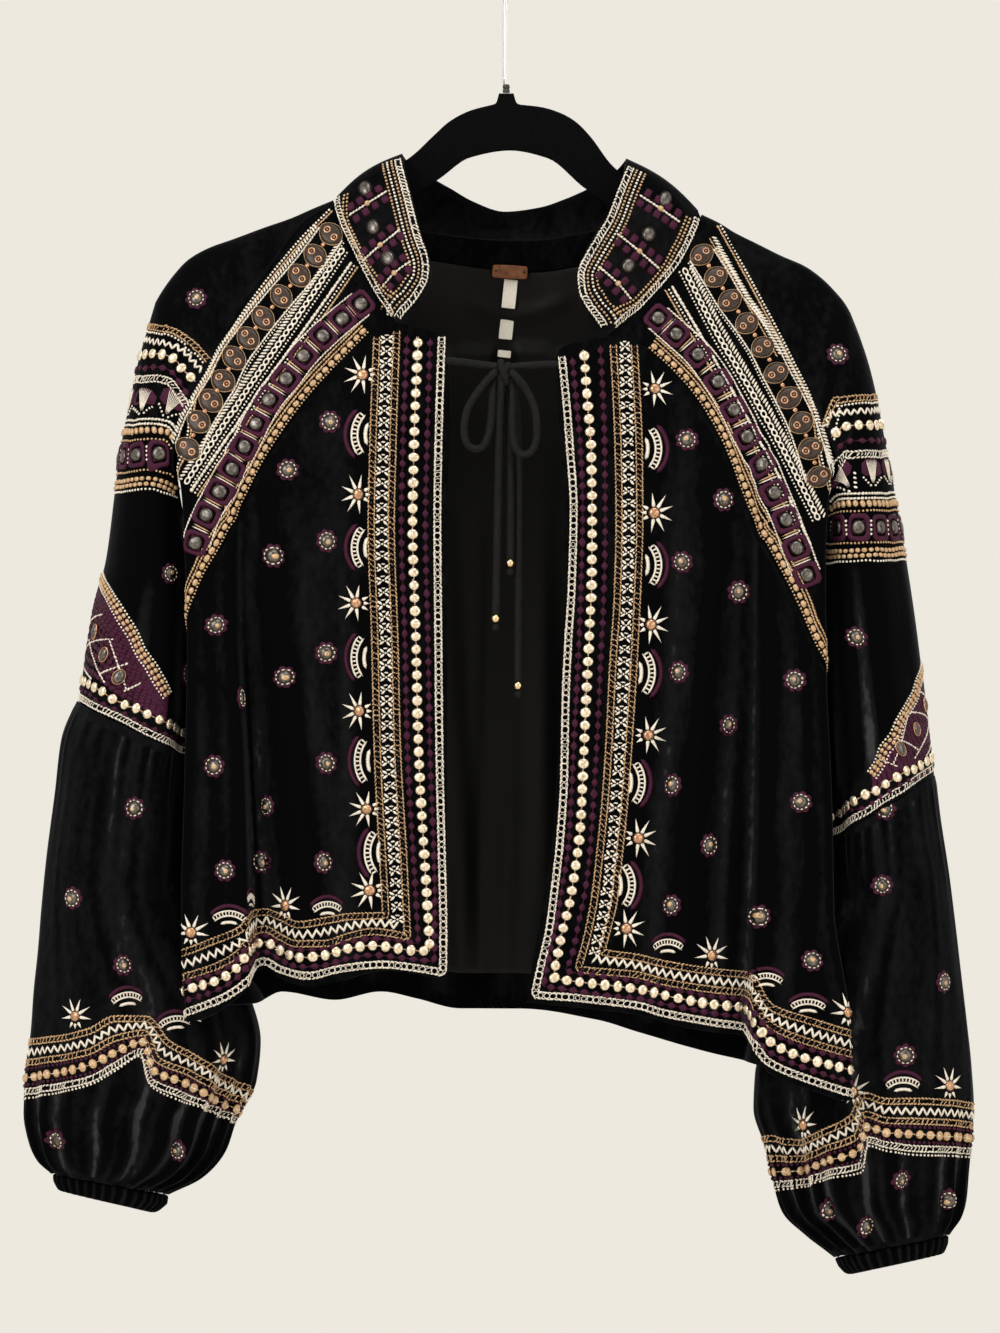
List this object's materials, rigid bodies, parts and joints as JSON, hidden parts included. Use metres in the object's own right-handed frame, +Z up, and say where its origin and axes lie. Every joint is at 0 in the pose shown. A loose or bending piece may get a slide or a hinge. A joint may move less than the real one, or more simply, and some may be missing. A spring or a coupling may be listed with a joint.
{
  "type": "velvet jacket on clothes hanger",
  "caption": "Cropped open velvet jacket with embroidered bands, gathered sleeves and a cord tie, hung on a flocked clothes hanger.",
  "frame": {"origin": "top of the hook's inner curve, where it rests on a rod", "axes": "+Z up, the jacket's front faces -Y, +X to the viewer's right"},
  "size_m": [0.6677, 0.1428, 0.9517],
  "materials": {
    "black_velvet": "cut velvet with a grey sheen on the folds",
    "banded_velvet": "velvet covered with purple, cream and gold embroidery",
    "black_satin": "smooth lining satin",
    "black_cord": "rolled velvet cord",
    "black_flock": "flocked",
    "chrome_wire": "polished",
    "gold_bead": "polished",
    "brown_leather": "matt",
    "cream_tape": "woven",
    "black_plastic": "satin"
  },
  "bodies": {
    "root": {"hook": "chrome_wire", "ferrule": "black_plastic", "hanger": "black_flock", "back": "black_velvet", "front_left": "black_velvet", "front_right": "black_velvet", "raglan_band_left": "banded_velvet", "raglan_band_right": "banded_velvet", "sleeve_upper_left": "black_velvet", "sleeve_upper_right": "black_velvet", "sleeve_lower_left": "black_velvet", "sleeve_lower_right": "black_velvet", "cuff_left": "black_velvet", "cuff_right": "black_velvet", "collar": "banded_velvet", "neck_facing": "black_velvet", "lining": "black_satin", "leather_tag": "brown_leather", "tape_upper": "cream_tape", "tape_middle": "cream_tape", "tape_lower": "cream_tape", "tie_left": "black_cord", "tie_right": "black_cord", "loop_left": "black_cord", "loop_right": "black_cord", "tail_left": "black_cord", "tail_middle": "black_cord", "tail_right": "black_cord", "tie_knot": "black_cord", "bead_left": "gold_bead", "bead_middle": "gold_bead", "bead_right": "gold_bead", "tuft_left": "black_cord", "tuft_middle": "black_cord", "tuft_right": "black_cord"}
  },
  "joints": []
}
